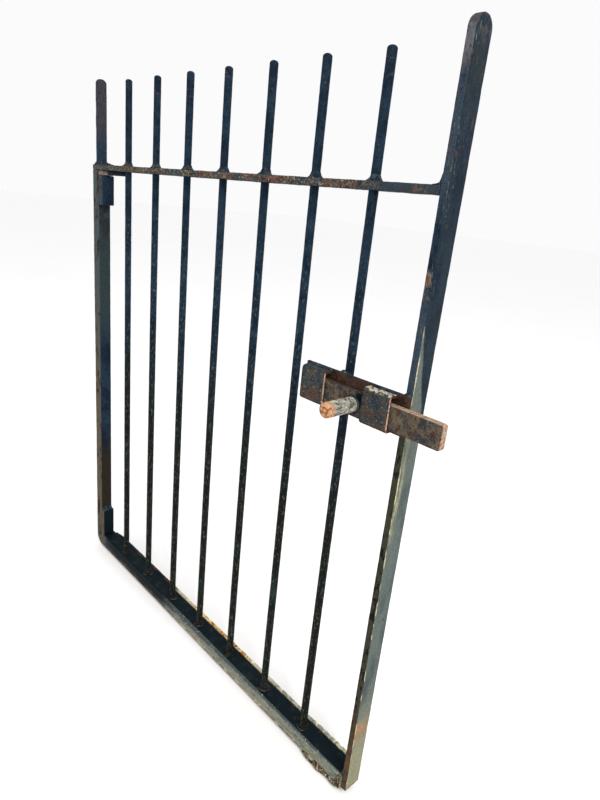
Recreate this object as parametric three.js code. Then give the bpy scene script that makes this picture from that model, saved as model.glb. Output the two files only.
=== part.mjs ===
// Garden gate: a welded steel frame with seven upright round bars and a sliding bolt.
// Units are millimetres, +Z is up, +X runs from the hinge side to the latch side and
// +Y runs from the face with the bolt to the back.
// The shapes are placed from the bottom corner of the front face; the whole gate is then
// moved so that its origin lies at the lower hinge point on the hinge stile's outer face.

import * as THREE from 'three';

// Driving dimensions
const PITCH = 100; // from one bar to the next, and from each inner face to the next bar
const BAR_COUNT = 7;
const HINGE_STILE = 25; // square section of the hinge stile
const LATCH_STILE = { thick: 10, deep: 30, low: 6, top: 1023 };
const TOP_RAIL = { thick: 10, deep: 25, top: 865, start: 6 };
const BOTTOM_RAIL = { high: 30, deep: 30, corner: 22 };
const BAR = { radius: 6, top: 1006, rise: 0.8 }; // each bar towards the hinges rises a little more
const FINIAL = { radius: 10, top: 1018, x: 14 };
const LOWER_HINGE_Z = 63;
const GAP = 0.3; // clearance left between two pieces that are welded together

// Worked out from the driving dimensions
const LATCH_INNER_X = HINGE_STILE + (BAR_COUNT + 1) * PITCH;
const GATE_WIDTH = LATCH_INNER_X + LATCH_STILE.thick;
const BAR_Y = HINGE_STILE / 2;
const RAIL_UNDER = TOP_RAIL.top - TOP_RAIL.thick;

// Hinge corner pieces
const UPPER_BLOCK = { thick: 17, low: 790, high: 846 };
const LOWER_BLOCK = { thick: 11, high: 96 };
const DOUBLER = { start: 47, end: 112, front: 9, thick: 7.5 };
const REAR_STRIP = { thick: 6, low: 2, high: 31, start: 32, ramp: 34 };

// Welds: how far each fillet spreads and how high it climbs
const FINIAL_WELD = { width: 2.2, height: 4 };
const FINIAL_TAIL = { length: 28, height: 4.4, clear: 1.3, front: 4, back: 20 };
const BAR_WELD = { width: 4.2, height: 8 };
const FOOT_WELD = { width: 3, height: 3 };
const HANDLE_WELD = { width: 2.6, height: 2.6 };
const RAIL_END_WELD = { width: 9, height: 9 };
const SILL_WELD = { width: 6, height: 6 };
const CORNER_BEAD = { halfWidth: 7, proud: 4, low: 5, high: 27 };
const BLOCK_WELD = { rise: 7, overhang: 2 };
const PLATE_WELD = 4;
const KEEPER_WELD = { width: 3, least: 1.5, inset: 3 };
const WELD_INSET = 1; // how far a fillet stops short of the edge that it runs to

// Sliding bolt
const PLATE = { start: 663, low: 583, high: 634, thick: 5 };
const BOLT = { start: 675, end: 891, low: 589.4, high: 620.4, thick: 10, corner: 3 };
const KEEPER = { width: 42, low: 585, high: 632, strap: 4, bend: 5, leftX: 669.5, rightX: 776.5 };
const HANDLE = { radius: 10, length: 51.5, x: 760, z: 603.5 };
const BOLT_PLAY = 0.4; // running clearance behind and in front of the bolt
const PACKING = { halfWidth: 7, low: 586, high: 635 };

const PLATE_BACK = -GAP;
const PLATE_FRONT = PLATE_BACK - PLATE.thick;
const BOLT_BACK = PLATE_FRONT - BOLT_PLAY;
const BOLT_FRONT = BOLT_BACK - BOLT.thick;
const KEEPER_INNER = BOLT_FRONT - BOLT_PLAY;
const KEEPER_FRONT = KEEPER_INNER - KEEPER.strap;
const KEEPER_BACK = PLATE_FRONT - GAP;

const ROUND_SIDES = 16;
const DOME_STEPS = 4;
const ARC_STEPS = 6;

const paintedSteel = (color) => () =>
  new THREE.MeshStandardMaterial({ color, roughness: 0.6, metalness: 0.3 });
const FRAME_PAINT = paintedSteel(0x232c36);
const RAIL_PAINT = paintedSteel(0x4a443e);
const LATCH_STILE_PAINT = paintedSteel(0x4d5654);
const WELD_PAINT = paintedSteel(0x333c44);
const HARDWARE_PAINT = paintedSteel(0x4a4038);
const BOLT_STEEL = paintedSteel(0x5a4a3e);

const gate = new THREE.Group();

function add(name, geometry, makeMaterial) {
  const mesh = new THREE.Mesh(geometry, makeMaterial());
  mesh.name = name;
  gate.add(mesh);
  return mesh;
}

// A straight bar or plate between two opposite corners.
function addBlock(name, from, to, makeMaterial) {
  const size = to.map((value, axis) => value - from[axis]);
  const mesh = add(name, new THREE.BoxGeometry(...size), makeMaterial);
  mesh.position.set(...from.map((value, axis) => value + size[axis] / 2));
  return mesh;
}

// An outline drawn in X and Z, with its depth running from y0 to y1.
function sideProfile(shape, y0, y1) {
  const geometry = new THREE.ExtrudeGeometry(shape, {
    depth: y1 - y0,
    bevelEnabled: false,
    curveSegments: ARC_STEPS,
  });
  geometry.rotateX(Math.PI / 2);
  geometry.translate(0, y1, 0);
  return geometry;
}

// An outline drawn in Y and Z, with its width running from x0 to x1.
function endProfile(shape, x0, x1) {
  const geometry = new THREE.ExtrudeGeometry(shape, {
    depth: x1 - x0,
    bevelEnabled: false,
    curveSegments: ARC_STEPS,
  });
  const alongX = new THREE.Matrix4().makeBasis(
    new THREE.Vector3(0, 1, 0),
    new THREE.Vector3(0, 0, 1),
    new THREE.Vector3(1, 0, 0),
  );
  geometry.applyMatrix4(alongX);
  geometry.translate(x0, 0, 0);
  return geometry;
}

function outline(points) {
  return new THREE.Shape(points.map(([a, b]) => new THREE.Vector2(a, b)));
}

// A round rod with a domed end, standing on z = 0.
function domedRod(radius, height, domeHeight) {
  const profile = [new THREE.Vector2(0, 0), new THREE.Vector2(radius, 0)];
  for (let step = 0; step < DOME_STEPS; step += 1) {
    const angle = (step / DOME_STEPS) * (Math.PI / 2);
    profile.push(
      new THREE.Vector2(radius * Math.cos(angle), height - domeHeight * (1 - Math.sin(angle))),
    );
  }
  profile.push(new THREE.Vector2(0, height));
  const geometry = new THREE.LatheGeometry(profile, ROUND_SIDES);
  geometry.rotateX(Math.PI / 2);
  return geometry;
}

// A fillet weld running round a rod, standing on z = 0.
function weldRing(rodRadius, width, height) {
  const inner = rodRadius + GAP * 1.5;
  const profile = [
    [inner, 0],
    [inner + width, 0],
    [inner + width * 0.5, height * 0.4],
    [inner + width * 0.12, height],
    [inner, height],
    [inner, 0],
  ].map(([radius, z]) => new THREE.Vector2(radius, z));
  const geometry = new THREE.LatheGeometry(profile, ROUND_SIDES);
  geometry.rotateX(Math.PI / 2);
  return geometry;
}

const barX = (index) => HINGE_STILE + (index + 1) * PITCH;

function buildHingeStile() {
  addBlock(
    'hinge_stile',
    [0, 0, BOTTOM_RAIL.high + GAP],
    [HINGE_STILE, HINGE_STILE, RAIL_UNDER - GAP],
    FRAME_PAINT,
  );
  const finial = add(
    'hinge_stile_finial',
    domedRod(FINIAL.radius, FINIAL.top - TOP_RAIL.top - GAP, FINIAL.radius * 0.8),
    FRAME_PAINT,
  );
  finial.position.set(FINIAL.x, BAR_Y, TOP_RAIL.top + GAP);
  const weld = add('finial_weld', weldRing(FINIAL.radius, FINIAL_WELD.width, FINIAL_WELD.height), WELD_PAINT);
  weld.position.set(FINIAL.x, BAR_Y, TOP_RAIL.top + GAP);

  // The weld runs out along the top of the rail beside the finial.
  const { back, clear, front, height, length } = FINIAL_TAIL;
  const tailStart = FINIAL.x + FINIAL.radius + FINIAL_WELD.width + clear;
  const base = TOP_RAIL.top + GAP;
  const tail = outline([
    [tailStart, base],
    [tailStart + length, base],
    [tailStart + length * 0.6, base + height * 0.6],
    [tailStart + length * 0.07, base + height],
  ]);
  add('finial_weld_tail', sideProfile(tail, front, back), WELD_PAINT);
}

function buildLatchStile() {
  const { deep, low, thick, top } = LATCH_STILE;
  const radius = deep / 2;
  const shape = new THREE.Shape();
  shape.moveTo(0, low);
  shape.lineTo(deep, low);
  shape.lineTo(deep, top - radius);
  shape.absarc(radius, top - radius, radius, 0, Math.PI, false);
  shape.lineTo(0, low);
  add('latch_stile', endProfile(shape, LATCH_INNER_X, LATCH_INNER_X + thick), LATCH_STILE_PAINT);
}

function buildTopRail() {
  const { deep, start, thick, top } = TOP_RAIL;
  const end = LATCH_INNER_X - GAP;
  const shape = outline([[start, 0], [end, 0], [end, deep], [start, deep]]);
  for (let index = 0; index < BAR_COUNT; index += 1) {
    const hole = new THREE.Path();
    hole.absarc(barX(index), BAR_Y, BAR.radius + GAP * 1.5, 0, Math.PI * 2, true);
    shape.holes.push(hole);
  }
  const geometry = new THREE.ExtrudeGeometry(shape, {
    depth: thick,
    bevelEnabled: false,
    curveSegments: ROUND_SIDES / 2,
  });
  geometry.translate(0, 0, top - thick);
  add('top_rail', geometry, RAIL_PAINT);

  const endWeld = outline([
    [0, RAIL_UNDER],
    [start - GAP, RAIL_UNDER],
    [start - GAP, top - thick * 0.1],
    [start * 0.5, top - thick * 0.25],
    [start * 0.1, top - thick * 0.6],
  ]);
  add('top_rail_end_weld', sideProfile(endWeld, WELD_INSET, deep - WELD_INSET), WELD_PAINT);

  const { height, width } = RAIL_END_WELD;
  const latchWeld = outline([
    [end - width, top + GAP],
    [end, top + GAP],
    [end, top + height],
    [end - width * 0.44, top + height * 0.38],
  ]);
  add('top_rail_latch_weld', sideProfile(latchWeld, WELD_INSET, deep - WELD_INSET), WELD_PAINT);
}

function buildBottomRail() {
  const { high, deep, corner } = BOTTOM_RAIL;
  const end = LATCH_INNER_X - GAP;
  const shape = new THREE.Shape();
  shape.moveTo(corner, 0);
  shape.lineTo(end, 0);
  shape.lineTo(end, high);
  shape.lineTo(0, high);
  shape.lineTo(0, corner);
  shape.absarc(corner, corner, corner, Math.PI, Math.PI * 1.5, false);
  add('bottom_rail', sideProfile(shape, 0, deep), FRAME_PAINT);

  const { low, ramp, start, thick } = REAR_STRIP;
  const strip = outline([
    [start, low],
    [end, low],
    [end, REAR_STRIP.high],
    [start + ramp, REAR_STRIP.high],
    [start, high * 0.8],
  ]);
  add('bottom_rear_strip', sideProfile(strip, deep + GAP, deep + GAP + thick), RAIL_PAINT);

  // Welds that join the rail to the latch stile, one across its top and one on its front.
  const topWeld = outline([
    [end - SILL_WELD.width, high + GAP],
    [end, high + GAP],
    [end, high + SILL_WELD.height],
  ]);
  const topWeldGeometry = sideProfile(topWeld, WELD_INSET, deep - WELD_INSET);
  add('bottom_rail_latch_weld', topWeldGeometry, WELD_PAINT);
  const { halfWidth, proud } = CORNER_BEAD;
  const bead = new THREE.Shape();
  bead.absellipse(end - halfWidth, -GAP, halfWidth, proud, Math.PI, Math.PI * 2, false);
  const beadGeometry = new THREE.ExtrudeGeometry(bead, {
    depth: CORNER_BEAD.high - CORNER_BEAD.low,
    bevelEnabled: false,
    curveSegments: ARC_STEPS * 2,
  });
  beadGeometry.translate(0, 0, CORNER_BEAD.low);
  add('bottom_corner_weld', beadGeometry, WELD_PAINT);
}

function buildBars() {
  const foot = BOTTOM_RAIL.high + GAP;
  for (let index = 0; index < BAR_COUNT; index += 1) {
    const number = index + 1;
    const top = BAR.top + BAR.rise * (BAR_COUNT - number);
    const rod = domedRod(BAR.radius, top - foot, BAR.radius * 0.8);
    const bar = add(`bar_${number}`, rod, FRAME_PAINT);
    bar.position.set(barX(index), BAR_Y, foot);
    const ring = weldRing(BAR.radius, BAR_WELD.width, BAR_WELD.height);
    const weld = add(`bar_weld_${number}`, ring, WELD_PAINT);
    weld.position.set(barX(index), BAR_Y, TOP_RAIL.top + GAP);
    const footRing = weldRing(BAR.radius, FOOT_WELD.width, FOOT_WELD.height);
    const footWeld = add(`bar_foot_weld_${number}`, footRing, WELD_PAINT);
    footWeld.position.set(barX(index), BAR_Y, foot);
  }
}

function buildHingeCorners() {
  const face = HINGE_STILE + GAP;
  addBlock(
    'upper_hinge_block',
    [face, 0, UPPER_BLOCK.low],
    [HINGE_STILE + UPPER_BLOCK.thick, HINGE_STILE, UPPER_BLOCK.high],
    FRAME_PAINT,
  );
  addBlock(
    'upper_hinge_block_weld',
    [face, WELD_INSET, UPPER_BLOCK.high + GAP],
    [
      HINGE_STILE + UPPER_BLOCK.thick + BLOCK_WELD.overhang,
      HINGE_STILE - WELD_INSET,
      RAIL_UNDER - GAP,
    ],
    WELD_PAINT,
  );
  addBlock(
    'corner_doubler',
    [DOUBLER.start, DOUBLER.front, RAIL_UNDER - GAP - DOUBLER.thick],
    [DOUBLER.end, HINGE_STILE, RAIL_UNDER - GAP],
    FRAME_PAINT,
  );
  addBlock(
    'lower_hinge_block',
    [face, 0, BOTTOM_RAIL.high + GAP],
    [HINGE_STILE + LOWER_BLOCK.thick, HINGE_STILE, LOWER_BLOCK.high],
    FRAME_PAINT,
  );
  const base = LOWER_BLOCK.high + GAP;
  const weld = outline([
    [face, base],
    [HINGE_STILE + LOWER_BLOCK.thick - WELD_INSET, base],
    [face + LOWER_BLOCK.thick * 0.3, base + BLOCK_WELD.rise * 0.7],
    [face, base + BLOCK_WELD.rise],
  ]);
  const weldGeometry = sideProfile(weld, WELD_INSET, HINGE_STILE - WELD_INSET);
  add('lower_hinge_block_weld', weldGeometry, WELD_PAINT);
}

// A flat strap bent to a U, open towards the plate, that the bolt slides through.
function keeperShape() {
  const { low, high, strap, bend } = KEEPER;
  const innerBend = bend - strap;
  const shape = new THREE.Shape();
  shape.moveTo(KEEPER_BACK, high);
  shape.lineTo(KEEPER_FRONT + bend, high);
  shape.absarc(KEEPER_FRONT + bend, high - bend, bend, Math.PI / 2, Math.PI, false);
  shape.lineTo(KEEPER_FRONT, low + bend);
  shape.absarc(KEEPER_FRONT + bend, low + bend, bend, Math.PI, Math.PI * 1.5, false);
  shape.lineTo(KEEPER_BACK, low);
  shape.lineTo(KEEPER_BACK, low + strap);
  shape.lineTo(KEEPER_FRONT + bend, low + strap);
  shape.absarc(KEEPER_FRONT + bend, low + bend, innerBend, Math.PI * 1.5, Math.PI, true);
  shape.lineTo(KEEPER_INNER, high - bend);
  shape.absarc(KEEPER_FRONT + bend, high - bend, innerBend, Math.PI, Math.PI / 2, true);
  shape.lineTo(KEEPER_BACK, high - strap);
  shape.lineTo(KEEPER_BACK, high);
  return shape;
}

function buildKeeper(side, x) {
  add(`keeper_${side}`, endProfile(keeperShape(), x, x + KEEPER.width), HARDWARE_PAINT);
  // A bead outside each leg of the strap, in the corner that it makes with the plate.
  const legs = [
    { name: 'lower', z: KEEPER.low - GAP, rise: -1 },
    { name: 'upper', z: KEEPER.high + GAP, rise: 1 },
  ];
  for (const { name, z, rise } of legs) {
    const room = rise < 0 ? z - PLATE.low : PLATE.high - z;
    const bead = outline([
      [KEEPER_BACK, z],
      [KEEPER_BACK, z + rise * Math.max(room, KEEPER_WELD.least)],
      [KEEPER_BACK - KEEPER_WELD.width, z],
    ]);
    const end = x + KEEPER.width - KEEPER_WELD.inset;
    const geometry = endProfile(bead, x + KEEPER_WELD.inset, end);
    add(`keeper_${side}_${name}_weld`, geometry, WELD_PAINT);
  }
}

function buildLatch() {
  addBlock(
    'latch_plate',
    [PLATE.start, PLATE_FRONT, PLATE.low],
    [GATE_WIDTH, PLATE_BACK, PLATE.high],
    HARDWARE_PAINT,
  );
  const lastBar = barX(BAR_COUNT - 1);
  addBlock(
    'bar_packing_block',
    [lastBar - PACKING.halfWidth, 0, PACKING.low],
    [lastBar + PACKING.halfWidth, BAR_Y - BAR.radius - GAP, PACKING.high],
    WELD_PAINT,
  );
  const bead = outline([
    [PLATE_FRONT, PLATE.high + GAP],
    [PLATE_BACK, PLATE.high + GAP],
    [PLATE_BACK, PLATE.high + PLATE_WELD],
  ]);
  add('plate_stile_weld', endProfile(bead, LATCH_INNER_X, GATE_WIDTH), WELD_PAINT);
  buildKeeper('left', KEEPER.leftX);
  buildKeeper('right', KEEPER.rightX);
}

function buildBolt() {
  const { start, end, low, high, corner } = BOLT;
  const shape = new THREE.Shape();
  shape.moveTo(start, low);
  shape.lineTo(end - corner, low);
  shape.absarc(end - corner, low + corner, corner, -Math.PI / 2, 0, false);
  shape.lineTo(end, high - corner);
  shape.absarc(end - corner, high - corner, corner, 0, Math.PI / 2, false);
  shape.lineTo(start, high);
  add('bolt', sideProfile(shape, BOLT_FRONT, BOLT_BACK), BOLT_STEEL);

  // The handle and its weld are turned on +Z, then laid over to point forwards.
  const handle = domedRod(HANDLE.radius, HANDLE.length, HANDLE.radius * 0.45);
  const ring = weldRing(HANDLE.radius, HANDLE_WELD.width, HANDLE_WELD.height);
  const parts = [['bolt_handle', handle, BOLT_STEEL], ['bolt_handle_weld', ring, WELD_PAINT]];
  for (const [name, geometry, makeMaterial] of parts) {
    const mesh = add(name, geometry, makeMaterial);
    mesh.rotation.x = Math.PI / 2;
    mesh.position.set(HANDLE.x, BOLT_FRONT - GAP, HANDLE.z);
  }
}

buildHingeStile();
buildLatchStile();
buildTopRail();
buildBottomRail();
buildBars();
buildHingeCorners();
buildLatch();
buildBolt();

gate.position.set(0, -HINGE_STILE / 2, -LOWER_HINGE_Z);

export default gate;
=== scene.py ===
import math

import bmesh
import bpy
from mathutils import Matrix, Vector, noise


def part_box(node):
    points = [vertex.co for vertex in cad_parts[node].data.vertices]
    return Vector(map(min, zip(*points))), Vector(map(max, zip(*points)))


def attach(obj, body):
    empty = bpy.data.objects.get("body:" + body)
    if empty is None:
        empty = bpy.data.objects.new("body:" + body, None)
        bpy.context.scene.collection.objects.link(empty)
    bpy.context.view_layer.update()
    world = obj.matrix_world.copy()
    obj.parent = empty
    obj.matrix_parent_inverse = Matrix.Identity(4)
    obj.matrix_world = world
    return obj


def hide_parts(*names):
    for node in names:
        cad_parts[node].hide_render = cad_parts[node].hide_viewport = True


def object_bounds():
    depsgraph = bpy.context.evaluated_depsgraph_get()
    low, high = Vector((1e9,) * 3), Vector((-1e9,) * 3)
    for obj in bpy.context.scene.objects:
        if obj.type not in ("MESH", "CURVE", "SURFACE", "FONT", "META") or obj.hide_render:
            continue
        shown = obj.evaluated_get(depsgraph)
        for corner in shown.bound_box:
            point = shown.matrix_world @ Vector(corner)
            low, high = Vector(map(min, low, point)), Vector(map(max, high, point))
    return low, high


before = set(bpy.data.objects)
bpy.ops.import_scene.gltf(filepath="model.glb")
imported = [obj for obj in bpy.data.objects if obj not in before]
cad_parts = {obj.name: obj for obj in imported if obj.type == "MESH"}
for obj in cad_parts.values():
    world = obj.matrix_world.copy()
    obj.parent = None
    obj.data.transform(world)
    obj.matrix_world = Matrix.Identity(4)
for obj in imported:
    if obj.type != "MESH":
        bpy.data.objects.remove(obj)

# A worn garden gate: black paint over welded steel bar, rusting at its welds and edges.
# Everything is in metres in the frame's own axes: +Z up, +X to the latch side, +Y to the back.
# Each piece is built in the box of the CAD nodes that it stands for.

cad_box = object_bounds()

MM = 0.001
STEP = 3 * MM  # spacing of the points that carry dents
SUNK = 1 * MM  # how far a weld or a rod runs into what it stands on
CORNER_SEGMENTS = 3
BAR_COUNT = 7
GLOSS = 0.05  # weathered paint and rust hardly shine

# Studio: the floor's reach and drop, and each light's name, place, size, power and colour
FLOOR_HALF = 30
FLOOR_DROP = 6 * MM
LIGHT_AIM = Vector((0.4, 0, 0.4))
LIGHTS = [
    ("key", (3.2, -1.0, 2.8), 1.2, 90, (1, 0.95, 0.88)),
    ("fill", (-1.5, -3.2, 1.6), 2.5, 12, (0.88, 0.94, 1)),
]

# Camera: where it stands, its turn about Z, its tilt below the horizon, its roll, and its lens and
# sensor in millimetres
CAMERA_PLACE = (1.1975, -0.5573, 0.7686)
CAMERA_TURN = math.radians(45.03)
CAMERA_TILT = math.radians(-18.59)
CAMERA_ROLL = math.radians(6.04)
CAMERA_LENS = 26.108
CAMERA_SENSOR = 36


def srgb(red, green, blue):
    """A colour given as on a paint chart, 0 to 255, in the shader's linear values."""
    def linear(value):
        value /= 255
        return value / 12.92 if value <= 0.04045 else ((value + 0.055) / 1.055) ** 2.4
    return (linear(red), linear(green), linear(blue), 1)


NAVY = srgb(11, 26, 41)
BLUE_GREY = srgb(27, 44, 59)
BLACK_GREEN = srgb(9, 21, 26)
BLACK_OLIVE = srgb(14, 18, 14)
SLATE = srgb(62, 70, 73)
GREY_GREEN = srgb(83, 93, 90)
PALE_GREEN = srgb(114, 119, 106)
CREAM = srgb(186, 178, 146)
TAUPE = srgb(80, 73, 61)
WARM_GREY = srgb(138, 127, 108)
DEEP_RUST = srgb(42, 30, 25)
BROWN_RUST = srgb(76, 54, 44)
RED_RUST = srgb(70, 46, 38)
MAUVE_RUST = srgb(60, 53, 56)
ORANGE_RUST = srgb(166, 100, 56)
PEACH = srgb(172, 142, 122)
YELLOW_RUST = srgb(226, 196, 116)
PALE_CHIP = srgb(112, 116, 106)


# Shading

class Coats:
    """A material made of coats, each laid over the last where its mask is 1."""

    def __init__(self, name, color, roughness):
        self.material = bpy.data.materials.new(name)
        self.material.use_nodes = True
        self.tree = self.material.node_tree
        self.tree.nodes.clear()
        self.coords = self.node("ShaderNodeTexCoord")
        self.place = self.coords.outputs["Object"]
        self.color = color
        self.roughness = roughness
        self.relief = []

    def node(self, kind, inputs=None, **settings):
        """A new node. Each of its inputs is linked to another node's output, or set to a value."""
        node = self.tree.nodes.new(kind)
        for key, value in settings.items():
            setattr(node, key, value)
        for key, value in (inputs or {}).items():
            if isinstance(value, bpy.types.NodeSocket):
                self.tree.links.new(value, node.inputs[key])
            else:
                node.inputs[key].default_value = value
        return node

    def math(self, operation, first, second=0.0):
        return self.node("ShaderNodeMath", {0: first, 1: second}, operation=operation).outputs[0]

    def component(self, vector, axis):
        return self.node("ShaderNodeSeparateXYZ", {0: vector}).outputs["XYZ".index(axis)]

    def noise(self, size, wide=1, tall=1, seed=0, detail=5):
        """Noise with blotches about size millimetres across, and longer by wide along X or tall along Z."""
        mapping = self.node("ShaderNodeMapping", {
            "Vector": self.place,
            "Location": (seed * 7.3, seed * 3.1, seed * 5.7),
            "Scale": [1 / (size * MM * along) for along in (wide, 1, tall)],
        })
        return self.node("ShaderNodeTexNoise", {
            "Vector": mapping.outputs[0], "Scale": 1, "Detail": detail, "Roughness": 0.6,
        }).outputs[0]

    def scaled(self, value, low, high, new_low, new_high, **settings):
        """value taken from one range to another, and kept inside it."""
        return self.node("ShaderNodeMapRange", {
            "Value": value, "From Min": low, "From Max": high, "To Min": new_low, "To Max": new_high,
        }, **settings).outputs[0]

    def ramp(self, value, start, full):
        """0 below start, 1 above full; the other way round if start is above full."""
        ends = (0, 1) if start < full else (1, 0)
        low, high = min(start, full), max(start, full)
        return self.scaled(value, low, high, *ends, interpolation_type="SMOOTHSTEP")

    def blotches(self, size, start, full, **options):
        return self.ramp(self.noise(size, **options), start, full)

    def both(self, *masks):
        result = masks[0]
        for mask in masks[1:]:
            result = self.math("MULTIPLY", result, mask)
        return result

    def along(self, axis, wobble=0.0, size=12):
        """A point's place along an axis in metres, moved about by noise up to wobble."""
        value = self.component(self.place, axis)
        if wobble:
            shift = self.math("MULTIPLY", self.noise(size, seed=9), 4 * wobble)
            value = self.math("ADD", value, self.math("SUBTRACT", shift, 2 * wobble))
        return value

    def slope(self, axis, start, full, wobble=0.0, size=12):
        """0 before one place along an axis and 1 past another, in either direction."""
        return self.ramp(self.along(axis, wobble, size), start, full)

    def band(self, axis, low, high, soft, wobble=0.0, size=12):
        """1 between two places along an axis, fading over soft at each end."""
        value = self.along(axis, wobble, size)
        rise = self.ramp(value, low - soft, low + soft)
        fall = self.ramp(value, high + soft, high - soft)
        return self.both(rise, fall)

    def facing(self, axis, sign):
        """1 on surfaces that face along an axis."""
        value = self.math("MULTIPLY", self.component(self.coords.outputs["Normal"], axis), sign)
        return self.ramp(value, 0.45, 0.8)

    def coat(self, mask, color, roughness, relief=0.0):
        """Lays a coat where mask is 1, or where all of a tuple's masks are. Its relief is in
        millimetres, and negative where it is sunk."""
        if isinstance(mask, tuple):
            mask = self.both(*mask)
        mix = self.node("ShaderNodeMix", {0: mask, 6: self.color, 7: color}, data_type="RGBA")
        self.color = mix.outputs[2]
        blend = self.node("ShaderNodeMix", {0: mask, 2: self.roughness, 3: roughness}, data_type="FLOAT")
        self.roughness = blend.outputs[0]
        if relief:
            self.relief.append(self.math("MULTIPLY", mask, relief))

    def spots(self, size, start, full, color, roughness, relief=0.0, within=(), **options):
        """Lays a coat in blotches about size millimetres across, all over or within some masks.
        It starts where their noise is above start, and covers where it is above full."""
        masks = within if isinstance(within, tuple) else (within,)
        self.coat((*masks, self.blotches(size, start, full, **options)), color, roughness, relief)

    def finish(self, grain=0.25, mottle=0.4):
        """Joins the coats to the shader. grain is the height of the fine surface texture, in
        millimetres, and mottle is how far the colour goes lighter and darker with it."""
        height = self.math("MULTIPLY", self.noise(2.5, seed=3, detail=8), grain)
        height = self.math("ADD", height, self.math("MULTIPLY", self.noise(14, seed=4), grain))
        for relief in self.relief:
            height = self.math("ADD", height, relief)
        bump = self.node("ShaderNodeBump", {"Strength": 1, "Distance": MM, "Height": height})
        shade = self.scaled(self.noise(1.8, seed=5, detail=6), 0.3, 0.7, 1 - mottle, 1 + mottle)
        mottled = self.node("ShaderNodeVectorMath", {0: self.color, "Scale": shade}, operation="SCALE")
        shader = self.node("ShaderNodeBsdfPrincipled", {
            "Base Color": mottled.outputs[0],
            "Roughness": self.roughness,
            "Normal": bump.outputs[0],
            "Specular IOR Level": GLOSS,
        })
        self.node("ShaderNodeOutputMaterial", {0: shader.outputs[0]})
        return self.material


def add_wear(coats, rust=0.66, chips=0.7, seed=0):
    """Rust that has come through the paint, with small pale chips. A lower number gives more."""
    patches = coats.blotches(22, rust - 0.04, rust + 0.03, seed=seed + 1)
    pits = coats.blotches(4, 0.5, 0.58, seed=seed + 2)
    coats.coat((patches, pits), BROWN_RUST, 0.9, -0.15)
    coats.spots(5, rust + 0.02, rust + 0.08, DEEP_RUST, 0.9, -0.1, seed=seed + 5)
    coats.spots(2.6, chips, chips + 0.05, PALE_CHIP, 0.7, -0.08, seed=seed + 3)
    return coats


def aged_paint(name, seed=0):
    """Blue-black paint with a faded bloom."""
    coats = Coats(name, NAVY, 0.5)
    coats.spots(35, 0.34, 0.66, BLUE_GREY, 0.6, seed=seed)
    coats.spots(6, 0.5, 0.74, BLACK_OLIVE, 0.6, 0.05, seed=seed + 6)
    return coats


def paint_bars():
    """Bars: navy near their tips, near black and olive towards their feet."""
    foot, tip = (corner.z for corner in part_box("bar_1"))
    height = tip - foot
    coats = aged_paint("bar_paint")
    lower = coats.slope("Z", foot + 0.68 * height, foot + 0.34 * height, 0.06, 40)
    coats.spots(26, 0.26, 0.44, BLACK_OLIVE, 0.6, within=lower, tall=3, seed=11)
    coats.spots(2.4, 0.58, 0.68, srgb(84, 84, 70), 0.7, -0.05, within=lower, tall=2, seed=12)
    dusty = coats.slope("Z", foot + 0.84 * height, foot + 0.7 * height, 0.03, 40)
    coats.spots(3.4, 0.55, 0.66, srgb(60, 68, 68), 0.7, within=dusty, tall=2, seed=14)
    tips = coats.slope("Z", tip - 0.07, tip - 0.01, 0.01)
    coats.spots(9, 0.56, 0.64, MAUVE_RUST, 0.8, -0.08, within=tips, seed=13)
    coats.coat(coats.slope("Z", foot + 0.01, foot + 0.002, 0.004), DEEP_RUST, 0.9)
    return add_wear(coats, 0.69, 0.69).finish()


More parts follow.
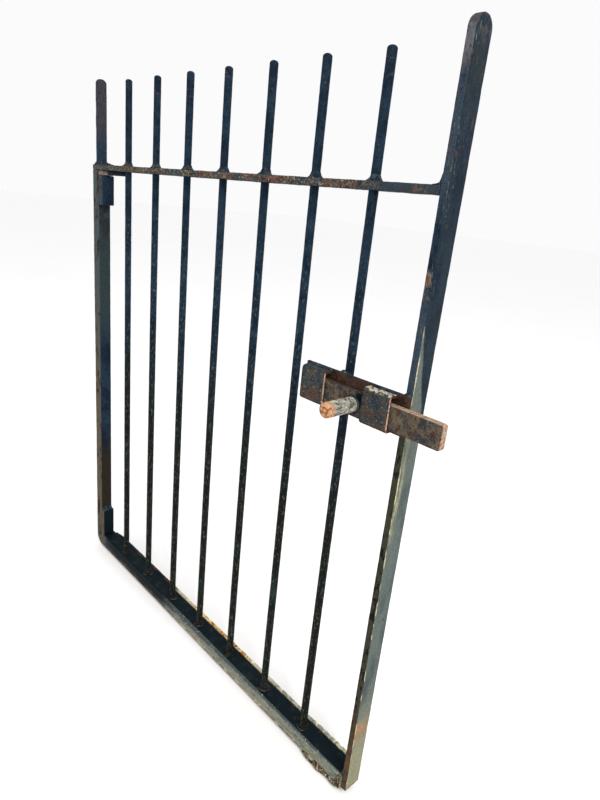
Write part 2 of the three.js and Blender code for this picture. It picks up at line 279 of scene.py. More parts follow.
def paint_hinge_frame():
    """Hinge stile and bottom rail: pale rubbed front faces, and dark paint on the other faces."""
    stile_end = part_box("hinge_stile")[1].x
    rail_low, rail_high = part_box("bottom_rail")
    coats = aged_paint("frame_paint", 20)
    front = coats.facing("Y", -1)
    top = coats.facing("Z", 1)
    coats.coat(top, BLACK_GREEN, 0.6)
    coats.spots(16, 0.5, 0.66, srgb(32, 41, 43), 0.6, within=top, seed=29)

    # The stile's inner face goes from blue-black through grey-green and brown to black at its foot.
    inner = coats.both(coats.facing("X", 1), coats.slope("X", stile_end + 0.005, stile_end + 0.003))
    height = coats.along("Z", 0.03, 50)
    coats.coat((inner, coats.ramp(height, 0.42, 0.52)), srgb(38, 49, 52), 0.6)
    shaded = coats.both(inner, coats.ramp(height, 0.62, 0.7))
    coats.spots(22, 0.42, 0.6, srgb(30, 30, 32), 0.7, within=shaded, seed=23)
    coats.coat((inner, coats.ramp(height, 0.26, 0.14)), srgb(36, 31, 25), 0.7)
    coats.coat((inner, coats.ramp(height, 0.04, 0.0)), BLACK_GREEN, 0.6)

    # The lower hinge block is as dark as the rail's top.
    block_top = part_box("lower_hinge_block")[1].z
    on_block = coats.both(coats.slope("X", stile_end + 0.0001, stile_end + 0.0006),
                          coats.band("Z", rail_high.z, block_top + 0.002, 0.001))
    coats.coat(on_block, BLACK_GREEN, 0.6)

    # The stile's front is rubbed to slate, warmer lower down.
    rubbed = coats.both(front, coats.slope("X", stile_end + 0.03, stile_end, 0.004))
    coats.coat(rubbed, SLATE, 0.6)
    coats.coat((rubbed, coats.slope("Z", 0.62, 0.3, 0.12, 60)), TAUPE, 0.65)
    stains = coats.blotches(9, 0.52, 0.6, tall=3, seed=21)
    coats.spots(40, 0.4, 0.55, DEEP_RUST, 0.85, -0.1, within=(rubbed, stains), seed=22)

    # The rail's front starts dark, with a dull line low down, and is bare and pale from its middle on.
    along_rail = coats.along("X", 0.015, 30)
    coats.coat((front, coats.ramp(along_rail, 0.055, 0.09)), BLACK_GREEN, 0.6)
    low_line = coats.band("Z", rail_low.z + 0.002, rail_low.z + 0.009, 0.002, 0.003)
    dashed = (front, coats.ramp(along_rail, 0.03, 0.06), low_line)
    coats.spots(12, 0.36, 0.56, TAUPE, 0.7, within=dashed, wide=3, seed=28)
    bare = coats.both(front, coats.ramp(along_rail, 0.29, 0.37))
    slant = coats.math("MULTIPLY", coats.along("X"), -0.026)
    level = coats.math("ADD", coats.along("Z", 0.003, 20), slant)
    scraped = coats.both(bare, coats.ramp(level, rail_low.z + 0.009, rail_low.z + 0.003))
    coats.coat(bare, SLATE, 0.6)
    coats.coat(scraped, PALE_GREEN, 0.6)
    warm_line = coats.slope("Z", rail_low.z + 0.012, rail_low.z + 0.005, 0.003, 10)
    coats.spots(14, 0.36, 0.52, WARM_GREY, 0.7, within=(scraped, warm_line), seed=30)
    coats.spots(4, 0.52, 0.62, GREY_GREEN, 0.6, -0.05, within=scraped, wide=6, seed=24)
    coats.spots(3, 0.62, 0.66, CREAM, 0.7, -0.1, within=bare, seed=25)
    below = coats.slope("Z", rail_low.z + 0.005, rail_low.z + 0.0025, 0.0015, 8)
    coats.coat((below, coats.ramp(along_rail, 0.02, 0.1)), BROWN_RUST, 0.9, 0.2)
    lines = coats.blotches(9, 0.46, 0.58, wide=3, seed=26)
    coats.coat((below, lines, bare), srgb(118, 92, 68), 0.9)
    edge = coats.band("Z", rail_low.z + 0.0025, rail_low.z + 0.0055, 0.0008, 0.0015, 8)
    coats.spots(6, 0.5, 0.56, srgb(182, 170, 142), 0.7, within=(edge, bare), wide=3, seed=27)
    return add_wear(coats, 0.68, 0.71, 20).finish()


def paint_latch_stile():
    """Latch stile: slate above, faded to grey-green below, with rust at its foot and a bare arris. The
    paler parts of its outer face by and below the latch are partly painted reflection, and the cream arris
    line is partly a painted highlight.
    """
    low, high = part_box("latch_stile")
    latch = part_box("bolt")[0].z
    coats = aged_paint("latch_stile_paint", 30)
    outer = coats.facing("X", 1)
    front = coats.facing("Y", -1)
    near_front = coats.along("Y", 0.002, 30)
    height = coats.along("Z", 0.03, 40)
    coats.spots(24, 0.3, 0.7, srgb(35, 43, 49), 0.6, within=outer, tall=3, seed=44)

    # Above the latch the front face is greyer than the outer one, and pale scratches run by the arris.
    coats.spots(30, 0.36, 0.56, srgb(46, 58, 70), 0.55, within=front, tall=3, seed=40)
    scratched = coats.both(coats.ramp(near_front, low.y + 0.013, low.y + 0.008),
                           coats.blotches(60, 0.44, 0.56, seed=41))
    coats.spots(2.2, 0.58, 0.66, srgb(90, 96, 86), 0.7, within=scratched, tall=5, seed=38)

    # A grey-rimmed mark of rust lies on the front face, with specks of rust under it.
    rim = coats.both(front, coats.slope("X", high.x - 0.0005, high.x - 0.004, 0.002, 6),
                     coats.band("Z", latch + 0.172, latch + 0.186, 0.003, 0.004, 8))
    coats.coat(rim, srgb(96, 98, 92), 0.8)
    core = coats.both(front, coats.band("Z", latch + 0.174, latch + 0.183, 0.002, 0.003, 6),
                      coats.slope("X", high.x - 0.003, high.x - 0.006, 0.002, 6))
    coats.coat(core, srgb(100, 60, 44), 0.85, -0.1)
    under = coats.both(front, coats.band("Z", latch + 0.15, latch + 0.176, 0.004))
    coats.spots(3, 0.5, 0.6, srgb(84, 70, 62), 0.85, -0.1, within=under, tall=2, seed=43)

    # Below the latch the paint has faded, and the outer face's paler grey-green there is partly a painted
    # reflection of the bright ground.
    faded_and_sheen = coats.slope("Z", latch + 0.02, latch - 0.03, 0.015, 50)
    coats.coat((faded_and_sheen, outer), GREY_GREEN, 0.55)
    coats.spots(30, 0.44, 0.64, SLATE, 0.55, within=(faded_and_sheen, outer), tall=3, seed=31)
    coats.coat((faded_and_sheen, front), srgb(50, 51, 40), 0.65)
    coats.spots(5, 0.5, 0.6, BLACK_OLIVE, 0.7, within=(faded_and_sheen, front), tall=2, seed=32)

    # A paler wedge of painted reflection runs up past the latch, and cream streaks run down from it, partly
    # worn paint and partly a painted highlight.
    lean = 0.22
    slant = coats.math("MULTIPLY", coats.along("Z"), lean)
    wedge_edge = low.y + 0.029 + lean * latch
    sheen_wedge = coats.both(coats.ramp(height, latch - 0.1, latch - 0.04), outer,
                       coats.ramp(coats.math("ADD", near_front, slant), wedge_edge, wedge_edge - 0.004))
    coats.coat(sheen_wedge, srgb(88, 96, 92), 0.55)
    streaks_and_highlight = coats.both(coats.band("Z", latch - 0.15, latch + 0.02, 0.03), outer,
                          coats.ramp(near_front, low.y + 0.014, low.y + 0.004))
    coats.spots(6, 0.42, 0.6, srgb(140, 138, 112), 0.6, within=streaks_and_highlight, tall=5, seed=42)

    # At the foot the outer face is paler still, partly a painted reflection of the bright ground.
    foot = coats.ramp(height, low.z + 0.2, low.z + 0.05)
    coats.coat((foot, outer), srgb(126, 124, 102), 0.6)
    coats.spots(14, 0.34, 0.5, srgb(78, 60, 42), 0.8, within=(foot, front), seed=33)
    stained = coats.both(coats.band("Z", low.z + 0.103, low.z + 0.125, 0.012, 0.014, 20), outer)
    coats.spots(9, 0.34, 0.5, srgb(146, 112, 80), 0.75, within=stained, tall=2, seed=35)
    # The cream line along the front arris is partly bare and partly a painted highlight.
    arris = coats.both(coats.slope("Z", latch + 0.14, latch + 0.1, 0.01),
                       coats.band("Y", low.y - 0.001, low.y + 0.0014, 0.0008, 0.0008), outer)
    coats.spots(9, 0.48, 0.56, CREAM, 0.6, within=arris, tall=4, seed=34)

    # Its tip is rubbed to a mauve grey.
    tip = coats.slope("Z", high.z - 0.07, high.z - 0.02, 0.015, 16)
    coats.coat((tip, front), srgb(84, 86, 90), 0.75)
    very_tip = coats.slope("Z", high.z - 0.03, high.z - 0.008, 0.01)
    coats.spots(9, 0.42, 0.62, srgb(66, 63, 65), 0.8, -0.1, within=very_tip, seed=36)
    below_tip = coats.band("Z", high.z - 0.13, high.z - 0.02, 0.02)
    coats.spots(6, 0.56, 0.68, srgb(66, 54, 54), 0.85, -0.1, within=below_tip, tall=3, seed=37)
    return add_wear(coats, 0.7, 0.7, 30).finish()


def paint_top_rail():
    """Top rail: mauve-brown rust along its front in patches, with worn paint left between."""
    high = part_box("top_rail")[1]
    coats = aged_paint("top_rail_rust", 40)
    front = coats.facing("Y", -1)
    coats.spots(24, 0.3, 0.44, TAUPE, 0.75, within=front, wide=2, seed=41)
    coats.spots(30, 0.48, 0.56, srgb(86, 65, 58), 0.9, -0.1, within=front, seed=42)
    coats.spots(30, 0.5, 0.55, srgb(54, 62, 64), 0.7, 0.05, within=front, seed=46)
    coats.spots(3.2, 0.54, 0.62, DEEP_RUST, 0.9, -0.2, within=front, seed=43)
    coats.spots(2.6, 0.57, 0.65, srgb(148, 134, 120), 0.8, 0.1, within=front, seed=44)
    sound = coats.both(coats.slope("X", high.x - 0.12, high.x - 0.09, 0.02), front)
    coats.spots(12, 0.66, 0.56, srgb(46, 56, 62), 0.6, within=sound, seed=45)
    return add_wear(coats, 0.64, 0.7, 40).finish(0.35)


def paint_welds():
    """Welds: lumpy paint, greyer on its lumps, with a little rust in the hollows."""
    coats = aged_paint("weld_paint", 50)
    coats.spots(8, 0.44, 0.6, srgb(60, 67, 66), 0.7, seed=51)
    coats.spots(5, 0.62, 0.68, BROWN_RUST, 0.9, -0.1, seed=52)
    return add_wear(coats, 0.66, 0.68, 50).finish(0.5)


def paint_block_weld():
    """Weld over the upper hinge block: bare, in mottled cream and brown, kept pale as a painted highlight.
    """
    coats = Coats("block_weld_rust_and_highlight", srgb(104, 92, 84), 0.85)
    coats.spots(5, 0.5, 0.58, srgb(150, 138, 126), 0.8, 0.1, seed=55)
    coats.spots(4, 0.54, 0.62, srgb(62, 48, 44), 0.9, -0.2, seed=56)
    coats.spots(7, 0.58, 0.64, BLUE_GREY, 0.7, seed=57)
    return coats.finish(0.5)


def paint_foot_welds():
    """Welds at the bars' feet: dark, with a thin dull ring."""
    rail_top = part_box("bottom_rail")[1].z
    coats = Coats("foot_weld_rust", BLACK_GREEN, 0.7)
    coats.spots(9, 0.5, 0.6, DEEP_RUST, 0.9, seed=61)
    coats.spots(5, 0.6, 0.68, TAUPE, 0.9, 0.1, seed=62)
    skirt = coats.slope("Z", rail_top + 0.0016, rail_top + 0.0004)
    coats.spots(14, 0.46, 0.6, srgb(98, 86, 66), 0.9, within=skirt, seed=63)
    return coats.finish(0.5)


def paint_finial():
    """Finial: mauve-brown rust with bluish paint left on it, darker at its foot."""
    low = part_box("hinge_stile_finial")[0]
    coats = Coats("finial_paint", srgb(52, 50, 57), 0.75)
    coats.spots(9, 0.48, 0.62, srgb(38, 48, 58), 0.6, 0.1, seed=71)
    coats.spots(4, 0.52, 0.62, srgb(58, 42, 44), 0.9, -0.15, seed=72)
    coats.spots(2.6, 0.6, 0.66, srgb(94, 90, 92), 0.8, seed=74)
    foot = coats.slope("Z", low.z + 0.07, low.z + 0.03, 0.02, 20)
    coats.spots(12, 0.35, 0.45, BLUE_GREY, 0.5, within=foot, seed=73)
    return add_wear(coats, 0.7, 0.66, 70).finish(0.4)


def paint_rear_strip():
    """Strip behind the bottom rail: its top edge turns pale from the middle on, partly worn and partly a
    painted highlight, with yellow rust.
    """
    low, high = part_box("bottom_rear_strip")
    coats = aged_paint("rear_strip_rust_and_highlight", 80)
    coats.spots(26, 0.5, 0.6, BROWN_RUST, 0.9, -0.1, seed=88)
    # The pale top edge, whitest in spots, is partly worn paint and partly a painted highlight.
    edge = coats.slope("Z", high.z - 0.012, high.z - 0.006, 0.003, 10)
    along_strip = coats.along("X", 0.02, 30)
    bare = coats.both(edge, coats.ramp(along_strip, low.x + 0.26, low.x + 0.32))
    coats.coat(bare, srgb(190, 184, 160), 0.7)
    coats.spots(14, 0.5, 0.6, srgb(224, 214, 176), 0.7, within=bare, seed=87)
    rusty = coats.both(edge, coats.band("X", low.x + 0.35, low.x + 0.52, 0.02, 0.03))
    coats.spots(18, 0.36, 0.5, YELLOW_RUST, 0.8, within=rusty, seed=82)
    coats.spots(12, 0.5, 0.56, ORANGE_RUST, 0.9, 0.15, within=rusty, seed=83)
    coats.spots(6, 0.6, 0.64, BROWN_RUST, 0.9, -0.1, within=rusty, seed=84)
    dull = coats.both(edge, coats.ramp(along_strip, low.x + 0.56, low.x + 0.63))
    coats.spots(9, 0.42, 0.54, srgb(132, 136, 122), 0.8, within=dull, seed=85)
    coats.spots(3, 0.62, 0.66, DEEP_RUST, 0.9, -0.2, within=bare, seed=86)
    return coats.finish(0.6)


def paint_crust():
    """Crusted rust and weld spatter at the latch end of the bottom rail, with cream spots on its knobs that
    are partly painted highlights.
    """
    coats = Coats("crust_rust_and_highlight", srgb(92, 86, 70), 0.85)
    coats.spots(7, 0.46, 0.58, srgb(58, 46, 35), 0.9, seed=91)
    # Cream spots on the raised knobs are partly painted highlights.
    coats.spots(4.5, 0.54, 0.62, srgb(176, 168, 142), 0.8, 0.2, seed=92)
    coats.spots(3.4, 0.6, 0.66, DEEP_RUST, 0.95, -0.3, seed=94)
    return coats.finish(0.8)


def paint_plate():
    """Latch plate: brown rust, darkened as painted shade of its recess behind the bolt, with dark paint
    left along its top edge.
    """
    # The base brown is kept dark as painted shade.
    coats = Coats("latch_plate_rust", srgb(62, 46, 37), 0.85)
    coats.spots(12, 0.44, 0.6, DEEP_RUST, 0.9, -0.1, seed=101)
    coats.spots(5, 0.56, 0.64, BROWN_RUST, 0.9, seed=102)
    coats.spots(20, 0.36, 0.5, BLUE_GREY, 0.6, within=coats.facing("Z", 1), seed=103)
    coats.coat(coats.facing("Y", 1), NAVY, 0.5)
    return add_wear(coats, 0.66, 0.7, 100).finish(0.4)


def paint_keepers():
    """Keepers: grey-black paint over rust. The one nearer the latch stile is chipped pale on top."""
    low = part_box("keeper_left")[0]
    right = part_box("keeper_right")[0].x
    coats = Coats("keeper_paint", srgb(54, 57, 57), 0.6)
    coats.spots(16, 0.42, 0.62, srgb(66, 62, 52), 0.7, seed=111)
    coats.spots(11, 0.44, 0.6, srgb(38, 48, 56), 0.55, 0.08, seed=112)
    rusty = coats.slope("Z", low.z + 0.026, low.z + 0.014, 0.008, 12)
    coats.spots(9, 0.44, 0.56, BROWN_RUST, 0.9, -0.15, within=rusty, seed=113)
    coats.spots(5, 0.57, 0.63, DEEP_RUST, 0.9, -0.1, seed=114)
    coats.spots(2.4, 0.6, 0.66, PALE_CHIP, 0.8, -0.1, seed=118)

    side = coats.facing("X", 1)
    coats.coat(side, srgb(66, 44, 36), 0.9)
    # A peach line along the front of each keeper's side facing +X is partly a painted highlight.
    rim = coats.slope("Y", low.y + 0.0028, low.y + 0.0016, 0.0006, 3)
    coats.spots(4, 0.36, 0.46, PEACH, 0.8, within=(side, rim), seed=115)
    chipped = coats.both(coats.facing("Z", 1), coats.slope("X", right - 0.01, right))
    coats.spots(5, 0.44, 0.5, srgb(176, 170, 152), 0.75, -0.15, within=chipped, seed=116)
    coats.spots(5, 0.55, 0.6, PEACH, 0.8, -0.1, within=chipped, seed=117)
    return coats.finish(0.4)


def paint_bolt():
    """Bolt: mottled brown-grey rust, with its top edge and end rubbed pale outside the keepers, partly as a
    painted highlight, and a painted shadow of the handle on its front.
    """
    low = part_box("bolt")[0]
    keeper_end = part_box("keeper_right")[1].x
    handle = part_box("bolt_handle")
    coats = Coats("bolt_rust_shadow_and_highlight", srgb(76, 69, 62), 0.7)
    coats.spots(14, 0.42, 0.62, srgb(90, 82, 64), 0.75, seed=121)
    coats.spots(12, 0.48, 0.6, srgb(46, 48, 52), 0.6, 0.08, seed=122)
    coats.spots(7, 0.54, 0.62, RED_RUST, 0.9, -0.12, seed=123)
    coats.spots(3, 0.58, 0.64, DEEP_RUST, 0.9, -0.1, seed=124)
    coats.spots(2.4, 0.62, 0.68, PALE_CHIP, 0.8, -0.1, seed=129)
    rim = coats.slope("Z", low.z + 0.004, low.z + 0.001, 0.002, 6)
    coats.spots(6, 0.44, 0.54, MAUVE_RUST, 0.85, within=rim, seed=125)
    # Right of the handle, a dark patch on the bolt's upper front is a painted shadow of the handle, which
    # slides with the bolt.
    painted_handle_shadow = coats.both(coats.band("X", handle[1].x - 0.006, handle[1].x + 0.012, 0.002, 0.002),
                       coats.slope("Z", low.z + 0.012, low.z + 0.018, 0.003))
    coats.coat((painted_handle_shadow, coats.facing("Y", -1)), BLACK_GREEN, 0.6)
    # Outside the keepers the top and end are pale, partly rubbed and partly a painted highlight on faces
    # turned to the light.
    outside = coats.slope("X", keeper_end - 0.012, keeper_end, 0.004)
    bare = coats.math("MAXIMUM", coats.facing("Z", 1), coats.facing("X", 1))
    coats.spots(14, 0.26, 0.4, srgb(160, 138, 120), 0.75, within=(bare, outside), seed=126)
    coats.spots(5, 0.54, 0.62, srgb(152, 102, 70), 0.85, -0.1, within=(bare, outside), seed=127)
    coats.spots(3, 0.57, 0.62, RED_RUST, 0.9, -0.1, within=bare, seed=128)
    return coats.finish(0.4)


def paint_handle():
    """Handle: chipped pale grey paint, rubbed to orange rust at its end, where the pale peach is partly a
    painted highlight on its rim.
    """
    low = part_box("bolt_handle")[0]
    coats = Coats("handle_paint", srgb(146, 145, 134), 0.6)
    coats.spots(7, 0.46, 0.56, srgb(84, 88, 84), 0.6, 0.1, seed=131)
    coats.spots(5, 0.56, 0.62, srgb(190, 184, 162), 0.7, 0.1, seed=132)
    coats.spots(4, 0.62, 0.66, BROWN_RUST, 0.85, -0.1, seed=133)
    # The end's pale peach is partly a painted highlight on its rim.
    end = coats.slope("Y", low.y + 0.014, low.y + 0.005, 0.004, 9)
    coats.coat(end, srgb(184, 146, 112), 0.75)
    coats.spots(4.5, 0.5, 0.56, srgb(148, 84, 46), 0.85, -0.1, within=end, seed=134)
    face = coats.slope("Y", low.y + 0.003, low.y + 0.001)
    coats.spots(8, 0.46, 0.56, srgb(120, 76, 48), 0.85, within=face, seed=135)
    return coats.finish(0.5)


# Meshes

def section(width, height, radius, step=STEP):
    """Points round a rounded rectangle, with points along its sides for dents."""
    corners = [(1, -1, -90), (1, 1, 0), (-1, 1, 90), (-1, -1, 180)]
    arcs = []
    for side, rise, start in corners:
        middle = Vector((side * (width / 2 - radius), rise * (height / 2 - radius)))
        angles = [math.radians(start + 90 * k / CORNER_SEGMENTS) for k in range(CORNER_SEGMENTS + 1)]
        arcs.append([middle + radius * Vector((math.cos(a), math.sin(a))) for a in angles])
    points = []
    for arc, following in zip(arcs, arcs[1:] + arcs[:1]):
        points += arc
        gap = following[0] - arc[-1]
        count = max(1, round(gap.length / step))
        points += [arc[-1] + gap * k / count for k in range(1, count)]
    return points


def circle(radius, sides):
    angles = [2 * math.pi * k / sides for k in range(sides)]
    return [radius * Vector((math.cos(a), math.sin(a))) for a in angles]


def spaced(start, end, step=STEP):
    count = max(1, round(abs(end - start) / step))
    return [start + (end - start) * k / count for k in range(count + 1)]


def clamp(value):
    """value, kept between 0 and 1."""
    return max(0.0, min(1.0, value))


def placer(axis):
    """Turns a section's point and a place along an axis into a point in space."""
    return {
        "X": lambda point, t: Vector((t, point.x, point.y)),
        "Y": lambda point, t: Vector((point.x, t, point.y)),
        "Z": lambda point, t: Vector((point.x, point.y, t)),
    }[axis]


def rounded_ends(start, end, radius, step=STEP):
    """Places along a bar with how far its section draws in there, in metres."""
    steps = [math.radians(90 * k / CORNER_SEGMENTS) for k in range(CORNER_SEGMENTS + 1)]
    drawn = [(radius * (1 - math.sin(a)), radius * (1 - math.cos(a))) for a in reversed(steps)]
    first = [(start + along, inset) for inset, along in reversed(drawn)]
    last = [(end - along, inset) for inset, along in drawn]
    middle = [(t, 0) for t in spaced(start + radius, end - radius, step)[1:-1]]
    return first + middle + last


def skin(bm, rings):
    """A closed tube through rings of equally many points."""
    made = [[bm.verts.new(point) for point in ring] for ring in rings]
    for ring, following in zip(made, made[1:]):
        for k in range(len(ring)):
            after = (k + 1) % len(ring)
            bm.faces.new((ring[k], ring[after], following[after], following[k]))
    bm.faces.new(made[0])
    bm.faces.new(made[-1])


def box_rings(low, high, axis, radius, squeeze=None, step=STEP):
    """Rings of a bar that fills a box, with rounded arrises. squeeze(t) scales its two sides at t."""
    first, second = [i for i in range(3) if "XYZ"[i] != axis]
    index = "XYZ".index(axis)
    size = high - low
    middle = Vector(((low[first] + high[first]) / 2, (low[second] + high[second]) / 2))
    outline = section(size[first], size[second], radius, step)
    place = placer(axis)
    rings = []
    for t, inset in rounded_ends(low[index], high[index], min(radius, size[index] * 0.3), step):
        scale = Vector((1 - 2 * inset / size[first], 1 - 2 * inset / size[second]))
        if squeeze:
            more = squeeze(t)
            scale = Vector((scale.x * more[0], scale.y * more[1]))
        rings.append([place(middle + Vector((p.x * scale.x, p.y * scale.y)), t) for p in outline])
    return rings


def rod_rings(middle, start, end, radius, axis="Z", dome=0.8, sides=20, step=STEP):
    """Rings of a round rod that ends in a dome at end. A small flat is left at the dome's pole."""
    place = placer(axis)
    rise = math.copysign(radius * dome, end - start)
    dome_steps = 7
    pole = math.radians(87)
    angles = [math.radians(90 * k / dome_steps) for k in range(dome_steps)] + [pole]
    stations = [(t, radius) for t in spaced(start, end - rise, step)[:-1]]
    stations += [(end - rise * (1 - math.sin(a)), radius * math.cos(a)) for a in angles]
    centre = Vector(middle)
    return [[place(centre + p, t) for p in circle(r, sides)] for t, r in stations]


def wander(place, size, seed):
    """Smooth noise from -1 to 1 with bumps about size across."""
    return noise.noise(Vector(place) / size + Vector((seed * 5.3, seed * 2.9, seed * 7.7)))


def mound_rings(middle, axis, start, profile, lumps, seed, sides=28):
    """Rings of a weld run round a rod. profile lists each radius with its height above start."""
    place = placer(axis)
    centre = Vector(middle)
    inner = profile[0][0]
    lump_height = 8 * MM
    rings = []
    for radius, height in profile:
        ring = []
        for p in circle(1, sides):
            spread = 1 + lumps * wander((p.x * 2, p.y * 2, height / lump_height), 1.1, seed)
            reach = inner + (radius - inner) * spread
            ring.append(place(centre + p * reach, start + height * (0.85 + 0.15 * spread)))
        rings.append(ring)
    return rings


def bead_rings(start, end, radius, lumps, seed, sides=14):
    """Rings of a weld bead along a line, rippled along its length, with blunt ends."""
    spacing = 1.2 * MM
    lump_size = 3.5 * MM
    bluntness = 6
    thinnest = 0.02
    start, end = Vector(start), Vector(end)
    along = (end - start).normalized()
    across = along.orthogonal().normalized()
    up = along.cross(across)
    length = (end - start).length
    rings = []
    for t in spaced(0, length, spacing):
        taper = math.sqrt(max(thinnest, 1 - abs(2 * t / length - 1) ** bluntness))
        ring = []
        for p in circle(1, sides):
            point = start + along * t
            way = across * p.x + up * p.y
            swell = 1 + lumps * wander(point + way * radius, lump_size, seed)
            ring.append(point + way * radius * taper * swell)
        rings.append(ring)
    return rings


def fillet_rings(corner, start, end, width, height, seed):
    """Rings of a hollow fillet weld in a corner that runs along Y. width is signed along X."""
    # The fillet's outline in shares of its width and height, dipping a little into both faces
    line = [(1, -0.12), (1, 0), (0.62, 0.1), (0.34, 0.3), (0.14, 0.6), (0, 1), (-0.15, 1), (-0.15, -0.12)]
    spacing = 1.5 * MM
    lumps = 0.45
    lump_size = 5 * MM
    reach = 9 * MM
    rings = []
    for y in spaced(start, end, spacing):
        ring = []
        for across, up in line:
            swell = 1 + lumps * wander((across * reach, y, up * reach), lump_size, seed)
            ring.append(Vector((corner[0] + across * width * swell, y, corner[1] + up * height * swell)))
        rings.append(ring)
    return rings


def add_lump(bm, middle, size, seed):
    """A closed lump with broad and fine knobs."""
    lump = bmesh.ops.create_icosphere(bm, subdivisions=3, radius=1)
    for vertex in lump["verts"]:
        broad = 0.45 * wander(vertex.co, 0.7, seed)
        fine = 0.2 * wander(vertex.co, 0.25, seed + 1)
        knob = 1 + broad + fine
        vertex.co = Vector(middle) + Vector(a * b for a, b in zip(vertex.co * knob, size))


def roughen(bm, amount, seed):
    """Moves the surface in and out by about amount, in waves, ripples and pits."""
    wave_size = 22 * MM
    ripple_size = 6 * MM
    pit_size = 9 * MM
    pit_start = 0.35
    pit_depth = 1.5
    bm.normal_update()
    moves = []
    for vertex in bm.verts:
        waves = 0.6 * wander(vertex.co, wave_size, seed)
        ripples = 0.4 * wander(vertex.co, ripple_size, seed + 1)
        pit = max(0.0, wander(vertex.co, pit_size, seed + 2) - pit_start)
        moves.append(vertex.normal * amount * (waves + ripples - pit_depth * pit))
    for vertex, move in zip(bm.verts, moves):
        vertex.co += move


def add_object(name, data):
    """A new object in the scene."""
    made = bpy.data.objects.new(name, data)
    bpy.context.scene.collection.objects.link(made)
    return made


def add_mesh(name, bm, material):
    """A new object from a bmesh, which is used up."""
    mesh = bpy.data.meshes.new(name)
    bm.to_mesh(mesh)
    bm.free()
    mesh.materials.append(material)
    return add_object(name, mesh)


def make(name, bm, material, body, nodes, rough=0.25, seed=1):
    """A finished piece from its mesh. rough is how uneven its surface is, in millimetres."""
    bmesh.ops.recalc_face_normals(bm, faces=bm.faces)
    if rough:
        roughen(bm, rough * MM, seed)
    for face in bm.faces:
        face.smooth = True
    piece = add_mesh(name + "_worn", bm, material)
    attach(piece, body)
    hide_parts(*nodes)


def make_bar(name, rings, material, nodes=None, body="gate", rough=0.25, seed=1):
    """A finished piece from one set of rings. If no nodes are given, it stands for its own name's."""
    bm = bmesh.new()
    skin(bm, rings)
    make(name, bm, material, body, nodes or [name], rough, seed)


# The gate, piece by piece. Each piece has its own seed, so that no two are dented alike.

def build_hinge_frame(material):
    """The hinge stile turned into the bottom rail round one rounded corner."""
    stile_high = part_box("hinge_stile")[1]
    rail_low, rail_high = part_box("bottom_rail")
    corner = 22 * MM
    inner_corner = 3 * MM
    corner_steps = 12
    arris = 1.8 * MM
    spacing = 3.2 * MM
    points_round = 44
    eaten_depth = 5 * MM  # how much of the rail's lower edge has rusted away by the latch
    eaten_from = rail_high.x - 100 * MM
    eaten_over = 70 * MM

    bend = Vector((rail_low.x + corner, rail_low.z + corner))
    heel = Vector((stile_high.x + inner_corner, rail_high.z + inner_corner))
    stations = []
    for z in spaced(stile_high.z, heel.y):
        stations.append((Vector((rail_low.x, z)), Vector((stile_high.x, z)), stile_high.y))
    for k in range(1, corner_steps + 1):
        angle = math.pi + math.pi / 2 * k / corner_steps
        way = Vector((math.cos(angle), math.sin(angle)))
        depth = stile_high.y + (rail_high.y - stile_high.y) * min(1, 2 * k / corner_steps)
        outer = bend + corner * way
        if k == corner_steps:
            outer.y = rail_low.z
        stations.append((outer, heel + inner_corner * way, depth))
    for x in spaced(heel.x, rail_high.x)[1:]:
        eaten = eaten_depth * clamp((x - eaten_from) / eaten_over)
        stations.append((Vector((x, rail_low.z + eaten)), Vector((x, rail_high.z)), rail_high.y))

    rings = []
    for outer, inside, back in stations:
        across = (inside - outer).normalized()
        middle = (inside + outer) / 2
        depth = back - rail_low.y
        ring = []
        for p in section((inside - outer).length, depth, arris, spacing):
            flat = middle + across * p.x
            ring.append(Vector((flat.x, rail_low.y + depth / 2 + p.y, flat.y)))
        rings.append(resample(ring, points_round))
    make_bar("hinge_stile_and_bottom_rail", rings, material,
             ["hinge_stile", "bottom_rail"], rough=0.35, seed=2)


def resample(ring, count):
    """The same closed outline with count evenly spaced points, starting from its first."""
    closed = ring + ring[:1]
    gaps = [(b - a).length for a, b in zip(closed, closed[1:])]
    total = sum(gaps)
    points = []
    index, passed = 0, 0.0
    for k in range(count):
        target = total * k / count
        while passed + gaps[index] < target:
            passed += gaps[index]
            index += 1
        share = (target - passed) / gaps[index]
        points.append(closed[index].lerp(closed[index + 1], share))
    return points


def build_latch_stile(material):
    """A flat bar on edge, rounded over at its top."""
    low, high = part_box("latch_stile")
    arris = 1.2 * MM
    spacing = 2.2 * MM
    thinnest = 0.03
    half = (high.y - low.y) / 2
    spring = high.z - half

    def half_round(t):
        rise = max(0.0, t - spring) / half
        return (1, math.sqrt(max(thinnest, 1 - rise * rise)))

    rings = box_rings(low, high, "Z", arris, half_round, spacing)
    make_bar("latch_stile", rings, material, rough=0.35, seed=3)


def build_top_rail(material, weld):
    """The rail with its own end weld, and the fillet that joins it to the latch stile."""
    arris = 1.7 * MM
    spacing = 2.4 * MM
    low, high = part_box("top_rail")
    low = Vector((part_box("top_rail_end_weld")[0].x, low.y, low.z))
    rings = box_rings(low, high, "X", arris, step=spacing)
    make_bar("top_rail", rings, material, ["top_rail", "top_rail_end_weld"],
             rough=0.5, seed=4)

    low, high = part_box("top_rail_latch_weld")
    width, height = -11 * MM, 10 * MM
    rings = fillet_rings((high.x, low.z), low.y, high.y, width, height, 40)
    make_bar("top_rail_latch_weld", rings, weld, rough=0.4, seed=40)


